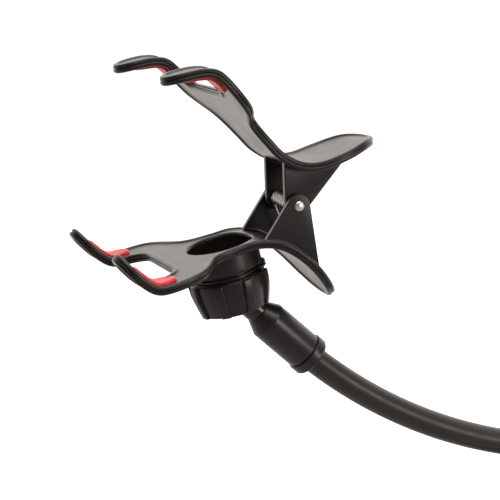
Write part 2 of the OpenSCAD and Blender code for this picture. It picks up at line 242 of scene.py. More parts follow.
class Sheet:
    """A jaw's curved sheet: x along it, y across, depth d from the outer face."""

    def __init__(self, drop):
        q = [(x, z - drop * k) for x, z, k in FACE]
        q = catmull(q, 40)
        # straight run-outs, so that the round edge has a surface to follow
        a, b = q[0] - q[4], q[-1] - q[-5]
        q = np.vstack([q[0] + a * 6, q, q[-1] + b * 6])
        self.x, self.z = q[:, 0], q[:, 1]
        g = np.gradient(self.z, self.x)
        k = np.ones(9) / 9
        g[4:-4] = np.convolve(g, k, "valid")
        ln = np.sqrt(1 + g * g)
        self.tx, self.tz = 1 / ln, g / ln

    def at(self, x, y, d):
        x, y, d = np.broadcast_arrays(np.asarray(x, float), y, d)
        tx, tz = np.interp(x, self.x, self.tx), np.interp(x, self.x, self.tz)
        return np.stack([x + d * tz, y, np.interp(x, self.x, self.z) - d * tx], -1)

    def back(self, x, z):
        """(x along the sheet, depth) of a point in x and z."""
        s, d = np.array(x, float), np.zeros(len(x))
        for _ in range(30):
            tx, tz = np.interp(s, self.x, self.tx), np.interp(s, self.x, self.tz)
            f = np.interp(s, self.x, self.z)
            d = (f - z) / tx
            s = 0.5 * s + 0.5 * (x - d * tz)
        return s, d


def plan_outline(step=0.55):
    a = np.vstack([
        catmull([(74, 0), (73.4, 3.2), (71.6, 6.8), (68.8, 10.3), (65.6, HW - 2), (61.5, HW), (56.5, HW + 0.8), (50, HW + 0.4)], 16),
        np.array([(43, HW + 0.1)]),
        catmull([(34, HW), (28.6, HW + 0.8), (24.8, HW + 2.8), (22.2, HW + 7), (20, HW + 11.6), (17, CW - 3), (12.6, CW - 0.8), (7, CW)], 16),
        arc((-8.3, CW - CLAW / 2), CLAW / 2, 90, 270, 60),
        arc((5, CW - CLAW - 7), 7, 90, 0, 30)])
    b = a[::-1] * [1, -1]
    p = np.vstack([a, b[:-1]])
    q = np.vstack([p, p[:1]])
    s = np.concatenate([[0], np.cumsum(np.linalg.norm(np.diff(q, axis=0), axis=1))])
    n = int(round(s[-1] / step))
    u = np.linspace(0, s[-1], n, endpoint=False)
    r = np.stack([np.interp(u, s, q[:, 0]), np.interp(u, s, q[:, 1])], 1)
    for _ in range(6):
        r = 0.25 * np.roll(r, 1, 0) + 0.5 * r + 0.25 * np.roll(r, -1, 0)
    return r


PLAN = plan_outline()


def inward(p):
    t = np.roll(p, -1, 0) - np.roll(p, 1, 0)
    t /= np.linalg.norm(t, axis=1)[:, None]
    n = np.stack([-t[:, 1], t[:, 0]], 1)
    area = 0.5 * np.sum(p[:, 0] * np.roll(p[:, 1], -1) - np.roll(p[:, 0], -1) * p[:, 1])
    return n if area > 0 else -n


PLAN_N = inward(PLAN)


def in_poly(pts, poly):
    x, y = pts[:, 0], pts[:, 1]
    inside = np.zeros(len(pts), bool)
    a, b = poly, np.roll(poly, -1, 0)
    for (x0, y0), (x1, y1) in zip(a, b):
        c = ((y0 > y) != (y1 > y))
        if abs(y1 - y0) > 1e-12:
            inside ^= c & (x < (x1 - x0) * (y - y0) / (y1 - y0) + x0)
    return inside


def web(loop, holes, step=1.6):
    """Triangles that fill loop, less holes, in the plan."""
    lo, hi = loop.min(0), loop.max(0)
    gx = np.arange(lo[0], hi[0], step)
    gy = np.arange(lo[1], hi[1], step * 0.866)
    g = np.array([(x + (step / 2 if j % 2 else 0), y) for j, y in enumerate(gy) for x in gx])
    keep = in_poly(g, loop)
    for h in holes:
        keep &= ~in_poly(g, h)
    g = g[keep]
    edge = np.vstack([loop] + list(holes))
    d = np.min(np.linalg.norm(g[:, None, :] - edge[None, :, :], axis=2), axis=1)
    g = g[d > step * 0.55]
    verts, edges, base = [], [], 0
    for q in [loop] + list(holes):
        m = len(q)
        verts += [Vector(v) for v in q]
        edges += [(base + i, base + (i + 1) % m) for i in range(m)]
        base += m
    verts += [Vector(v) for v in g]
    v, _, f, *_ = delaunay_2d_cdt(verts, edges, [], 0, 1e-7)
    v = np.array([tuple(q) for q in v])
    f = [list(t) for t in f]
    cen = np.array([v[t].mean(0) for t in f])
    ok = in_poly(cen, loop)
    for h in holes:
        ok &= ~in_poly(cen, h)
    return v, [t for t, k in zip(f, ok) if k]


# edge section, from the outer web round the rim to the inner web: (inset, depth)
EDGE = [(2.75, 0.5), (2.45, 0.49), (2.2, 0.45), (2.02, 0.35), (1.9, 0.2), (1.78, 0.07), (1.6, 0.0), (1.3, -0.03), (1.0, -0.03),
        (0.74, 0.0), (0.56, 0.06), (0.43, 0.16), (0.35, 0.3), (0.28, 0.5), (0.2, 0.75), (0.14, 0.98), (0.14, 1.12), (0.24, 1.2),
        (0.44, 1.26), (0.5, 1.34), (0.5, 1.5), (0.44, 1.57), (0.22, 1.62), (0.06, 1.7), (0.0, 1.84), (0.0, 2.1),
        (0.04, 2.36), (0.14, 2.6), (0.3, 2.82), (0.52, 2.96), (0.8, 3.02), (1.1, 3.03), (1.4, 3.0), (1.62, 2.92), (1.78, 2.78),
        (1.92, 2.64), (2.12, 2.54), (2.4, 2.5), (2.75, 2.5)]


def shell(name, drop, sign, well=False):
    sh = Sheet(drop)
    m = len(PLAN)
    verts = []
    for o, d in EDGE:
        q = PLAN + PLAN_N * o
        verts.append(sh.at(q[:, 0], q[:, 1], d))
    verts = [np.vstack(verts)]
    faces = grid_faces(len(EDGE), m)
    base = len(EDGE) * m
    loop = PLAN + PLAN_N * EDGE[0][0]
    in_hole, out_hole = [], []
    if well:
        r0, lip, n = 11.2, 1.1, 96
        th = np.linspace(0, 2 * math.pi, n, endpoint=False)

        def meet(r, depth):
            """Height up the nut's axis where the line at radius r meets that depth."""
            lo_, hi_ = np.full(n, 2.0), np.full(n, 30.0)
            for _ in range(44):
                w = (lo_ + hi_) / 2
                u = r * np.cos(th)
                x = BALL_H[0] + u * math.cos(math.radians(30)) - w * 0.5
                z = -(BALL_H[1] + u * 0.5 + w * math.cos(math.radians(30)))
                s, d = sh.back(x, z)
                up = d < depth
                lo_, hi_ = np.where(up, w, lo_), np.where(up, hi_, w)
            return w, s

        rings, top = [], None
        for k in range(9):
            a = math.radians(90 * k / 8)
            r = r0 + lip * (1 - math.sin(a))
            w, s = meet(r, 2.5)
            if k == 0:
                in_hole = [np.stack([s, r * np.sin(th)], 1)]
            rings.append((r, w - lip * (1 - math.cos(a))))
        w, s = meet(r0, 0.5)
        out_hole = [np.stack([s, r0 * np.sin(th)], 1)]
        rings.append((r0, w))
        wv = []
        for r, w in rings:
            u = r * np.cos(th)
            wv.append(np.stack([BALL_H[0] + u * math.cos(math.radians(30)) - w * 0.5, r * np.sin(th),
                                -(BALL_H[1] + u * 0.5 + w * math.cos(math.radians(30)))], 1))
        verts.append(np.vstack(wv))
        faces += grid_faces(len(rings), n, base=base)
        base += n * len(rings)
    for depth, holes in ((0.5, out_hole), (2.5, in_hole)):
        v, f = web(loop, holes)
        verts.append(sh.at(v[:, 0], v[:, 1], depth))
        faces += [[i + base for i in t] for t in f]
        base += len(v)
    v = np.vstack(verts)
    v[:, 2] *= sign
    return make(name, v, faces, HEAD, deg=50, weld=0.004)


def cheek_outline(drop, pz, r=4.0):
    sh = Sheet(drop)
    xs = np.linspace(41.0, 62.6, 40)
    q = sh.at(xs, 0, 1.6)[:, [0, 2]]
    c = np.array([PIN_X, pz])

    def tang(p, s):
        v = p - c
        a = math.atan2(v[1], v[0]) + s * math.acos(r / np.linalg.norm(v))
        return a

    a0, a1 = tang(q[0], 1), tang(q[-1], -1)
    if a0 > 0:
        a0 -= 2 * math.pi
    while a1 < a0:
        a1 += 2 * math.pi
    a = np.linspace(a0, a1, 28)
    end = c + r * np.stack([np.cos(a), np.sin(a)], 1)
    return np.vstack([q[::-1], end])


def cheek(name, drop, sign, y0, t, pz):
    p = cheek_outline(drop, pz)
    p = p * [1, sign]
    return prism(name, p, y0, y0 + t, HEAD, bevel=0.28)


def cove(name, drop, sign, y, side, r=0.9):
    """Small fillet where a cheek's face meets the web, side is the way it looks."""
    sh = Sheet(drop)
    xs = np.linspace(42.2, 61.6, 40)
    prof = [(0.25, -0.25), (r, -0.25)] + [(r - r * math.sin(a), r - r * math.cos(a)) for a in np.radians(np.linspace(0, 90, 7))] + [(-0.25, r), (-0.25, -0.25)]
    prof = [(-0.25, -0.25), (r, -0.25), *[(r * (1 - math.sin(a)), r * (1 - math.cos(a))) for a in np.radians(np.linspace(0, 90, 7))], (-0.25, r)]
    verts = []
    for h, (a, b) in enumerate(prof):
        verts.append(sh.at(xs, y + side * a, 2.5 + b))
    v = np.stack(verts, 1).reshape(-1, 3)
    v[:, 2] *= sign
    k = len(prof)
    f = grid_faces(len(xs), k)
    f.append(list(range(k))[::-1])
    f.append([(len(xs) - 1) * k + j for j in range(k)])
    return make(name, v, f, HEAD, deg=50)


def jaw(name, drop, sign, y0, t, pz, well=False):
    parts = [shell(name + "_s", drop, sign, well)]
    for s in (-1, 1):
        a = s * y0 if s > 0 else -y0 - t
        parts.append(cheek(f"{name}_c{s}", drop, sign, a, t, pz * sign))
        parts.append(cove(f"{name}_i{s}", drop, sign, s * y0, -s))
        parts.append(cove(f"{name}_o{s}", drop, sign, s * (y0 + t), s, 0.7))
    return parts


def collar():
    """Boss, thread and socket under the lower jaw, about the nut's axis."""
    sh = Sheet(1.0)
    n = 128
    th = np.linspace(0, 2 * math.pi, n, endpoint=False)

    def meet(r, depth):
        lo_, hi_ = np.full(n, 2.0), np.full(n, 30.0)
        for _ in range(44):
            w = (lo_ + hi_) / 2
            u = r * np.cos(th)
            x = BALL_H[0] + u * math.cos(math.radians(30)) - w * 0.5
            z = -(BALL_H[1] + u * 0.5 + w * math.cos(math.radians(30)))
            s, d = sh.back(x, z)
            up = d < depth
            lo_, hi_ = np.where(up, w, lo_), np.where(up, hi_, w)
        return w

    top_in, top_out = meet(11.28, 1.6), meet(12.9, 1.9)
    sock = [(7.58 * math.cos(a), 7.58 * math.sin(a)) for a in np.radians(np.linspace(35.1, -29.2, 18))]
    prof = rounded([(11.28, 9.5), (11.28, 7.9, 0.5), (6.2, 4.55, 0.3), sock[0]], 4).tolist() + sock[1:]
    prof += rounded([sock[-1], (6.8, -3.7, 0.2), (12.0, -3.7, 0.4), (12.0, 4.6), ], 4).tolist()[1:]
    # thread crests where the collar shows between nut and boss
    for k in range(2):
        z0 = 4.8 + k * 1.3
        prof += [(11.9, z0), (11.85, z0 + 0.15), (11.0, z0 + 0.4), (11.0, z0 + 0.85), (11.85, z0 + 1.15)]
    prof += rounded([(12.0, 7.5), (12.9, 7.5, 0.45), (12.9, 9.5)], 5).tolist()
    prof = np.array(prof)
    rows = []
    for r, z in prof:
        rows.append(np.stack([r * np.cos(th), r * np.sin(th), np.full(n, z)], 1))
    rows.insert(0, np.stack([11.28 * np.cos(th), 11.28 * np.sin(th), top_in], 1))
    rows.append(np.stack([12.9 * np.cos(th), 12.9 * np.sin(th), top_out], 1))
    k = len(rows)
    f = grid_faces(k, n) + [[(k - 1) * n + j, (k - 1) * n + (j + 1) % n, (j + 1) % n, j] for j in range(n)]
    body = make("collar", np.vstack(rows), f, NUT, deg=38)
    # stop tab with its three teeth
    tab = []
    a = math.radians(-16)
    ca, sa = math.cos(a), math.sin(a)
    base = prism("tab", [(11.0, 5.1), (13.4, 5.1), (13.6, 5.4), (13.6, 7.4), (13.4, 7.7), (11.0, 7.7)], -1.2, 1.2, ROW, bevel=0.2)
    teeth = [base]
    for i in range(3):
        z = 5.5 + 0.8 * i
        teeth.append(prism(f"tooth{i}", [(13.3, z - 0.28), (13.95, z), (13.3, z + 0.28)], -1.1, 1.1, ROW, bevel=0.08))
    for o in teeth:
        co = np.array([v.co for v in o.data.vertices], float) * 1000
        q = np.stack([co[:, 0] * ca - co[:, 1] * sa, co[:, 0] * sa + co[:, 1] * ca, co[:, 2]], 1)
        q = into(NUT, q)
        o.data.vertices.foreach_set("co", q.astype(np.float32).ravel())
        o.data.update()
    return [body] + teeth


upper = join("upper_jaw_shell", jaw("uj", 0.0, 1, 10.2 - 2.1, 2.1, PIN_Z), deg=50)
lower = join("lower_jaw_shell", jaw("lj", 1.0, -1, 10.7, 2.1, PIN_Z, well=True) + collar(), deg=45)


# grip pads: soft crown with rolled edges on the inside of each claw
def pad(name, drop, sign, ys):
    sh = Sheet(drop)
    w = CLAW / 2 - RIM_W - 0.15
    out = np.vstack([arc((-4.2, 0), w, 90, 270, 28), arc((5.0, 0), w, 270, 450, 28)])
    s = np.concatenate([[0], np.cumsum(np.linalg.norm(np.diff(np.vstack([out, out[:1]]), axis=0), axis=1))])
    u = np.linspace(0, s[-1], 110, endpoint=False)
    q = np.vstack([out, out[:1]])
    p = np.stack([np.interp(u, s, q[:, 0]), np.interp(u, s, q[:, 1])], 1)
    n = inward(p)
    sec = [(0.0, 2.52), (0.0, 3.2), (0.06, 3.45), (0.2, 3.7), (0.42, 3.86), (0.7, 3.94), (1.1, 3.97)]
    verts = [sh.at((p + n * o)[:, 0], ys + (p + n * o)[:, 1], d) for o, d in sec]
    f = grid_faces(len(sec), len(p))
    base = len(sec) * len(p)
    verts = [np.vstack(verts)]
    for o, d in ((1.1, 3.97), (0.0, 2.52)):
        v, t = web(p + n * o, [], step=0.9)
        dep = np.full(len(v), d)
        if o > 0:
            # shallow cross ribs that grip
            e = np.clip((w - o - np.abs(v[:, 1])) / 0.7, 0, 1) * np.clip((np.minimum(v[:, 0] + 8.0, 8.8 - v[:, 0])) / 0.9, 0, 1)
            dep = d - 0.16 * e * (0.5 - 0.5 * np.cos(v[:, 0] * 2 * math.pi / 2.2))
        verts.append(sh.at(v[:, 0], ys + v[:, 1], dep))
        f += [[i + base for i in q] for q in t]
        base += len(v)
    v = np.vstack(verts)
    v[:, 2] *= sign
    return make(name, v, f, HEAD, deg=60, weld=0.003)


YP = CW - CLAW / 2
pads = {
    "upper_pad_near": pad("pad_upper_near", 0.0, 1, -YP), "upper_pad_far": pad("pad_upper_far", 0.0, 1, YP),
    "lower_pad_near": pad("pad_lower_near", 1.0, -1, -YP), "lower_pad_far": pad("pad_lower_far", 1.0, -1, YP)}

# ---------------------------------------------------------------- rivet and spring
PIN_FR = (tuple(into(HEAD, [[PIN_X, 0, PIN_Z]])[0] * 1000), LEAN)
e = 10.7 + 2.1
dome = [(1.72 * math.sin(a), e + 0.14 + 0.66 * math.cos(a)) for a in np.radians(np.linspace(0, 84, 12))]
half = [(0.0, dome[0][1])] + dome[1:] + [(1.72, e + 0.12), (1.66, e + 0.04), (1.0, e + 0.04)]
half += [(1.0, 10.0)]
prof = half + [(r, -z) for r, z in half[::-1]]
rivet = lathe("rivet", [(max(r, 1e-4), z) for r, z in prof], ROW, segs=48, deg=45, closed=False)
co = np.array([v.co for v in rivet.data.vertices], float) * 1000
shank = np.abs(co[:, 2]) < 10.2
rivet.data.vertices.foreach_set("co", into(PIN_FR, np.stack([co[:, 0], co[:, 2], -co[:, 1]], 1)).astype(np.float32).ravel())
rivet.data.update()

L, R0, N = 13.0, 2.55, 8
a0, a1 = 142.0, 142.0 + 360 * N + 76
n = N * 44
ang = np.radians(np.linspace(a0, a1, n + 1))
coil = np.stack([R0 * np.cos(ang), np.linspace(-L / 2, L / 2, n + 1), R0 * np.sin(ang)], 1)
d0 = np.array([math.sin(ang[0]), 0, -math.cos(ang[0])])
d1 = np.array([-math.sin(ang[-1]), 0, math.cos(ang[-1])])
leg0 = [coil[0] + s * d0 for s in (19.0, 15, 11, 7, 4, 2, 0.8)]
leg1 = [coil[-1] + s * d1 for s in (0.8, 2, 4, 7, 11, 14.5, 17.8)]
pts = np.vstack([leg0, coil, leg1])
tilt = math.radians(3)
pts = np.stack([pts[:, 0], pts[:, 1] * math.cos(tilt) - pts[:, 2] * math.sin(tilt), pts[:, 1] * math.sin(tilt) + pts[:, 2] * math.cos(tilt)], 1)
spring = tube("spring_wire", pts, 0.38, 14, fr=PIN_FR, deg=50)

# ---------------------------------------------------------------- collar nut
nut_prof = rounded([(12.06, 4.35), (12.06, 4.7, 0.1), (12.95, 4.7, 0.35), (13.05, 2.6), (12.85, 0), (12.3, -3.2), (11.35, -7.15, 0.5), (10.8, -7.15, 0.3), (8.4, -3.95, 0.3)], 4).tolist()
extra = []
for i in range(len(nut_prof) - 1):
    a, b = np.array(nut_prof[i]), np.array(nut_prof[i + 1])
    m = max(1, int(np.linalg.norm(b - a) / 0.7))
    extra += [tuple(a + (b - a) * j / m) for j in range(m)]
extra += [tuple(nut_prof[-1]), (12.06, -3.95), (12.06, 0.0)]


def ribs(th, r, z):
    out = np.full(len(th), float(r))
    if r < 12.6 and z > 4.2 or r < 11.0 and z < -6.8 or r < 10.9:
        return out
    dth = (np.degrees(th) - 11.6 + 22.5) % 45 - 22.5
    arc_mm = np.abs(np.radians(dth)) * r
    s = np.clip((1.6 - arc_mm) / 0.3, 0, 1)
    s = np.sqrt(np.clip(1 - (1 - s) ** 2, 0, 1))
    ends = np.clip((4.85 - z) / 0.3, 0, 1)
    return out + s * math.sqrt(max(ends, 0)) * (1.2 - 0.3 * max(0, -z) / 7)


nut = lathe("grip_nut", extra, NUT, segs=512, deg=60, radial=ribs)

# ---------------------------------------------------------------- ball, stem, rings
ball_arc = [(7.5 * math.sin(a), -7.5 * math.cos(a)) for a in np.radians(np.linspace(0.5, 157, 48))]
neck = rounded([ball_arc[-1], (3.35, 7.6, 0.8), (4.3, 9.2, 0.6), (4.3, 13.25, 0.0), (3.0, 13.3, 0), (3.0, 24.8, 0.3), (0.01, 25.0)], 5).tolist()
ball = lathe("ball_and_neck", ball_arc + neck[1:], STEM, segs=96, deg=35, closed=False)
sleeve = lathe("stem_body", rounded([(3.05, 13.32), (4.5, 13.3, 0.25), (6.85, 18.2, 0.7), (6.85, 36.12, 0.16), (6.5, 36.2, 0.05), (6.5, 36.4), (4.72, 36.4), (4.72, 26.5), (3.05, 26.4)], 6), STEM, segs=112, deg=30)
ring_prof = [(4.86, 0.0), (7.05, 0.0, 0.05), (7.35, 0.28, 0.2), (7.35, 3.3, 0.5), (6.9, 3.9, 0.3), (5.05, 3.9, 0.2), (4.86, 3.7), (4.86, 0.0)]
ring = lathe("stem_end_ring", rounded([(r[0], r[1] + 36.42, *r[2:]) for r in ring_prof[:-1]], 5), STEM, segs=112, deg=30)

# ---------------------------------------------------------------- the bendable arm
HA, HB, BA, BB, AX, FZ = 39.4, 10.0, 188.0, 46.0, 16.0, 57.6
cb = np.array([AX - BB, 0, FZ])
ca_ = np.array([cb[0] + (BB + BA) * math.sin(math.radians(HB)), 0, cb[2] + (BB + BA) * math.cos(math.radians(HB))])
bd = np.array(BALL)
dn = np.array([math.cos(math.radians(41.5)), 0, -math.sin(math.radians(41.5))])
path = [bd + s * dn for s in (27.2, 29, 32, 35, 38.6)]
path += [ca_ + BA * np.array([-math.sin(math.radians(a)), 0, -math.cos(math.radians(a))]) for a in np.linspace(HA, HB, 70)[1:]]
path += [cb + BB * np.array([math.sin(math.radians(a)), 0, math.cos(math.radians(a))]) for a in np.linspace(HB, 90, 56)[1:]]
path += [np.array([AX, 0, z]) for z in (54, 50, 46, 42, 38, 34, 30.6)]
path = np.array(path)
# even out the small kinks between the arcs
s = np.concatenate([[0], np.cumsum(np.linalg.norm(np.diff(path, axis=0), axis=1))])
u = np.linspace(0, s[-1], 190)
path = np.stack([np.interp(u, s, path[:, i]) for i in range(3)], 1)
for _ in range(12):
    path[1:-1] = 0.25 * path[:-2] + 0.5 * path[1:-1] + 0.25 * path[2:]
arm = tube("arm_skin", path, 4.7, 56, deg=50)
core = tube("arm_wire", path[2:-2], 3.45, 20, deg=50)
JB = np.array([-22.0, 0, 102.9])
near = path[np.argmin(np.linalg.norm(path - JB, axis=1))]

# ---------------------------------------------------------------- the base
FOOT = ((AX, 0, 0), 0.0)
ferrule = lathe("foot_sleeve", rounded([(0.01, 20.05), (6.17, 20.05, 0.2), (6.17, 31.0, 0.0), (6.85, 31.0, 0.25), (6.85, 44.32, 0.16), (6.5, 44.4, 0.05), (6.5, 44.6), (4.72, 44.6), (4.72, 30.0), (0.01, 29.95)], 5), FOOT, segs=96, deg=30, closed=False)
fring = lathe("foot_ring", rounded([(r[0], r[1] + 44.62, *r[2:]) for r in ring_prof[:-1]], 5), FOOT, segs=96, deg=30)

house_top = rounded([(3.56, 11.7), (3.56, 14.0, 0.3), (20.5, 14.0, 1.0), (23.1, 13.8, 2), (26.3, 13.0, 4), (28.9, 11.6, 4), (30.7, 9.8, 3), (31.5, 8.0, 1.5), (31.5, 4.3, 0.4), (29.55, 4.22, 0.2), (29.5, 7.6, 0.8), (27.0, 9.8, 1.5), (23.5, 11.0, 2), (11.0, 11.6, 0.5)], 5)


def scallop(th, r, z):
    """Shallow finger scallops round the rim."""
    out = np.full(len(th), float(r))
    if r > 30.9 and z > 4.0:
        out -= 0.45 * np.clip(np.cos(th * 30), 0, 1) ** 2 * min(1, max(0, (z - 4.4) / 0.5)) * min(1, max(0, (9.5 - z) / 1.2))
    return out


dense = []
for i in range(len(house_top) - 1):
    a, b = house_top[i], house_top[i + 1]
    m = max(1, int(np.linalg.norm(b - a) / 1.0))
    dense += [tuple(a + (b - a) * j / m) for j in range(m)]
dense.append(tuple(house_top[-1]))
house = lathe("house_shell", dense, ROW, segs=360, deg=35, radial=scallop)
tower = lathe("tower", rounded([(6.22, 12.5), (6.22, 30.7, 0.2), (8.3, 30.85, 0.5), (9.15, 29.6, 0.8), (9.2, 16.2), (10.0, 14.6, 1.2), (11.4, 13.9), (11.0, 12.5)], 6), FOOT, segs=112, deg=35)
housing = join("base_cover", [house, tower], deg=35)

cup_body = lathe("cup_body", rounded([(0.01, 2.75), (8, 2.6, 4), (20, 1.6, 8), (29.5, 0.0, 0.6), (33.5, 0.0, 0.25), (34.0, 0.55, 0.3), (33.3, 1.5, 0.5), (30.5, 3.9, 1.0), (24, 4.6, 2), (12, 5.6, 1.0), (9.6, 6.4, 0.5), (9.6, 9.9, 0.3), (9.0, 10.2, 0.2), (4.0, 10.2, 0.1), (4.0, 8.6), (7.4, 8.6), (7.4, 4.1), (0.01, 4.1)], 6), ROW, segs=160, deg=35, closed=False)
tab_pts = rounded([(31.8, -6.0), (34, -6.0, 0.5)], 2).tolist() + [(40.6 + 6 * math.cos(a), 6 * math.sin(a)) for a in np.radians(np.linspace(-90, 90, 25))] + [(34, 6.0), (31.8, 6.0)]
tb = prism("tabx", tab_pts, 0.3, 1.7, ROW, bevel=0.3)
co = np.array([v.co for v in tb.data.vertices], float) * 1000
tb.data.vertices.foreach_set("co", (np.stack([co[:, 0], co[:, 2], co[:, 1]], 1) / 1000).astype(np.float32).ravel())
tb.data.flip_normals()
ribs_t = []
for i in range(3):
    x = 38.2 + 2.2 * i
    rb = tube(f"tr{i}", [(x, -3.6, 1.62), (x, -1.8, 1.68), (x, 1.8, 1.68), (x, 3.6, 1.62)], [0.15, 0.42, 0.42, 0.15], 12, up=(0, 0, 1))
    ribs_t.append(rb)
cup = join("cup_soft", [cup_body, tb] + ribs_t, deg=35)

# lever: two cam cheeks and a dished thumb plate
LZ = 21.0
cams = []
cam_out = rounded([(-9, -3.6, 0), (-2.4, -3.6, 0.8), (-2.4, -4.4, 0)], 3).tolist()
arc1 = [(2.4 * math.cos(a), -4 + 2.4 * math.sin(a)) for a in np.radians(np.linspace(190, 350, 16))]
arc2 = [(4.5 * math.cos(a), 4.5 * math.sin(a)) for a in np.radians(np.linspace(-52, 140, 26))]
outline = [(-9, -3.4), (-8.6, -3.6), (-2.9, -3.6)] + arc1 + arc2 + [(-5.6, 2.8), (-9, 2.8)]
for sgn in (-1, 1):
    y0, y1 = (3.9, 7.4) if sgn > 0 else (-7.4, -3.9)
    c_ = prism(f"cam{sgn}", outline, y0, y1, ((0, 0, LZ), 0.0), bevel=0.35)
    cams.append(c_)
tp = catmull([(-36, -1.2), (-30, 0.6), (-22, 2), (-14, 2.6), (-9, 2.8), (-5.6, 2.8)], 10)
lw, ll = 22.0, 33.0
plate = np.vstack([[(-5.7, 7.4), (-9, 7.8), (-11, 8.7), (-13, 10.0), (-14.6, 10.8), (-17, 11.0)],
                   arc((-ll + 9, 0), lw / 2, 105, 255, 40), [(-17, -11.0), (-14.6, -10.8), (-13, -10.0), (-11, -8.7), (-9, -7.8), (-5.7, -7.4)]])
q = np.vstack([plate, plate[:1]])
s_ = np.concatenate([[0], np.cumsum(np.linalg.norm(np.diff(q, axis=0), axis=1))])
u_ = np.linspace(0, s_[-1], 180, endpoint=False)
pp = np.stack([np.interp(u_, s_, q[:, 0]), np.interp(u_, s_, q[:, 1])], 1)
for _ in range(4):
    pp = 0.25 * np.roll(pp, 1, 0) + 0.5 * pp + 0.25 * np.roll(pp, -1, 0)
pn = inward(pp)


def lev(x, y, d):
    z = np.interp(x, tp[:, 0], tp[:, 1])
    return np.stack([x, y, z - d], 1)


sec = [(2.2, 0.42), (1.9, 0.36), (1.6, 0.2), (1.3, 0.06), (1.0, 0.0), (0.6, 0.05), (0.28, 0.22), (0.08, 0.5), (0.0, 0.9), (0.0, 2.3), (0.1, 2.65), (0.35, 2.9), (0.7, 3.0)]
vv = [lev((pp + pn * o)[:, 0], (pp + pn * o)[:, 1], d) for o, d in sec]
ff = grid_faces(len(sec), len(pp))
bs = len(sec) * len(pp)
vv = [np.vstack(vv)]
for o, d in ((2.2, 0.42), (0.7, 3.0)):
    w_, t_ = web(pp + pn * o, [], step=1.2)
    dep = np.full(len(w_), d)
    if o > 2:
        # three shallow thumb grooves
        for gx in (-33.0, -30.2, -27.4):
            dep = dep + 0.28 * np.exp(-((w_[:, 0] - gx) / 0.55) ** 2) * np.clip((7.5 - np.abs(w_[:, 1])) / 1.0, 0, 1)
    vv.append(lev(w_[:, 0], w_[:, 1], dep))
    ff += [[i + bs for i in t] for t in t_]
    bs += len(w_)
lplate = make("lplate", np.vstack(vv), ff, ((0, 0, LZ), 0.0), deg=50, weld=0.003)
lever = join("lock_lever", cams + [lplate], deg=40)
lp = lathe("lever_pivot", rounded([(0.01, -7.6), (1.5, -7.6, 0.3), (1.5, 7.6, 0.3), (0.01, 7.6)], 5), ROW, segs=48, deg=40, closed=False)
co = np.array([v.co for v in lp.data.vertices], float) * 1000
lp.data.vertices.foreach_set("co", (np.stack([co[:, 0], co[:, 2], LZ - co[:, 1]], 1) / 1000).astype(np.float32).ravel())
lp.data.update()


# ---------------------------------------------------------------- materials
def nodes_of(mat):
    mat.use_nodes = True
    nt = mat.node_tree
    nt.nodes.clear()
    out = nt.nodes.new("ShaderNodeOutputMaterial")
    b = nt.nodes.new("ShaderNodeBsdfPrincipled")
    nt.links.new(b.outputs[0], out.inputs[0])
    tc = nt.nodes.new("ShaderNodeTexCoord")
    return nt, b, tc


def noise(nt, tc, scale, detail=3.0, rough=0.55, stretch=None):
    n_ = nt.nodes.new("ShaderNodeTexNoise")
    n_.inputs["Scale"].default_value = scale
    n_.inputs["Detail"].default_value = detail
    n_.inputs["Roughness"].default_value = rough
    if stretch:
        mp = nt.nodes.new("ShaderNodeMapping")
        mp.inputs["Scale"].default_value = stretch
        nt.links.new(tc.outputs["Object"], mp.inputs[0])
        nt.links.new(mp.outputs[0], n_.inputs["Vector"])
    else:
        nt.links.new(tc.outputs["Object"], n_.inputs["Vector"])
    return n_


def ramp(nt, src, stops):
    r = nt.nodes.new("ShaderNodeValToRGB")
    els = r.color_ramp.elements
    while len(els) < len(stops):
        els.new(0.5)
    for e_, (p, c) in zip(els, stops):
        e_.position = p
        e_.color = (*c, 1) if len(c) == 3 else c
    nt.links.new(src, r.inputs[0])
    return r


def bump(nt, b, src, strength, dist):
    bp = nt.nodes.new("ShaderNodeBump")
    bp.inputs["Strength"].default_value = strength
    bp.inputs["Distance"].default_value = dist
    nt.links.new(src, bp.inputs["Height"])
    nt.links.new(bp.outputs[0], b.inputs["Normal"])
    return bp


def plastic(name, lo, hi, r0, r1, grain=2600, gs=0.25, gd=0.00004, spec=0.5, edge_highlight=0.0):
    """Moulded plastic: cloudy tone, fine spark texture, uneven gloss, painted highlight on sharp edges."""
    m = bpy.data.materials.new(name)
    nt, b, tc = nodes_of(m)
    cloud = noise(nt, tc, 38, 4, 0.6)
    col = ramp(nt, cloud.outputs["Fac"], [(0.32, lo), (0.68, hi)])
    last = col.outputs[0]
    if edge_highlight:
        # painted highlight: sharp convex edges (high pointiness), broken up by noise, are mixed towards 2.6 times the
        # lighter tone
        geo = nt.nodes.new("ShaderNodeNewGeometry")
        pt = ramp(nt, geo.outputs["Pointiness"], [(0.52, (0, 0, 0)), (0.6, (edge_highlight, edge_highlight, edge_highlight))])
        br = noise(nt, tc, 420, 5, 0.7)
        mul = nt.nodes.new("ShaderNodeMath")
        mul.operation = "MULTIPLY"
        nt.links.new(pt.outputs[0], mul.inputs[0])
        nt.links.new(br.outputs["Fac"], mul.inputs[1])
        mix = nt.nodes.new("ShaderNodeMix")
        mix.data_type = "RGBA"
        mix.inputs["B"].default_value = (hi[0] * 2.6, hi[1] * 2.6, hi[2] * 2.6, 1)
        nt.links.new(mul.outputs[0], mix.inputs["Factor"])
        nt.links.new(last, mix.inputs["A"])
        last = mix.outputs["Result"]
    nt.links.new(last, b.inputs["Base Color"])
    patch = noise(nt, tc, 90, 5, 0.62)
    rr = nt.nodes.new("ShaderNodeMapRange")
    rr.inputs["From Min"].default_value, rr.inputs["From Max"].default_value = 0.3, 0.7
    rr.inputs["To Min"].default_value, rr.inputs["To Max"].default_value = r0, r1
    nt.links.new(patch.outputs["Fac"], rr.inputs["Value"])
    nt.links.new(rr.outputs[0], b.inputs["Roughness"])
    fine = noise(nt, tc, grain, 2, 0.5)
    bump(nt, b, fine.outputs["Fac"], gs, gd)
    b.inputs["Specular IOR Level"].default_value = spec
    return m


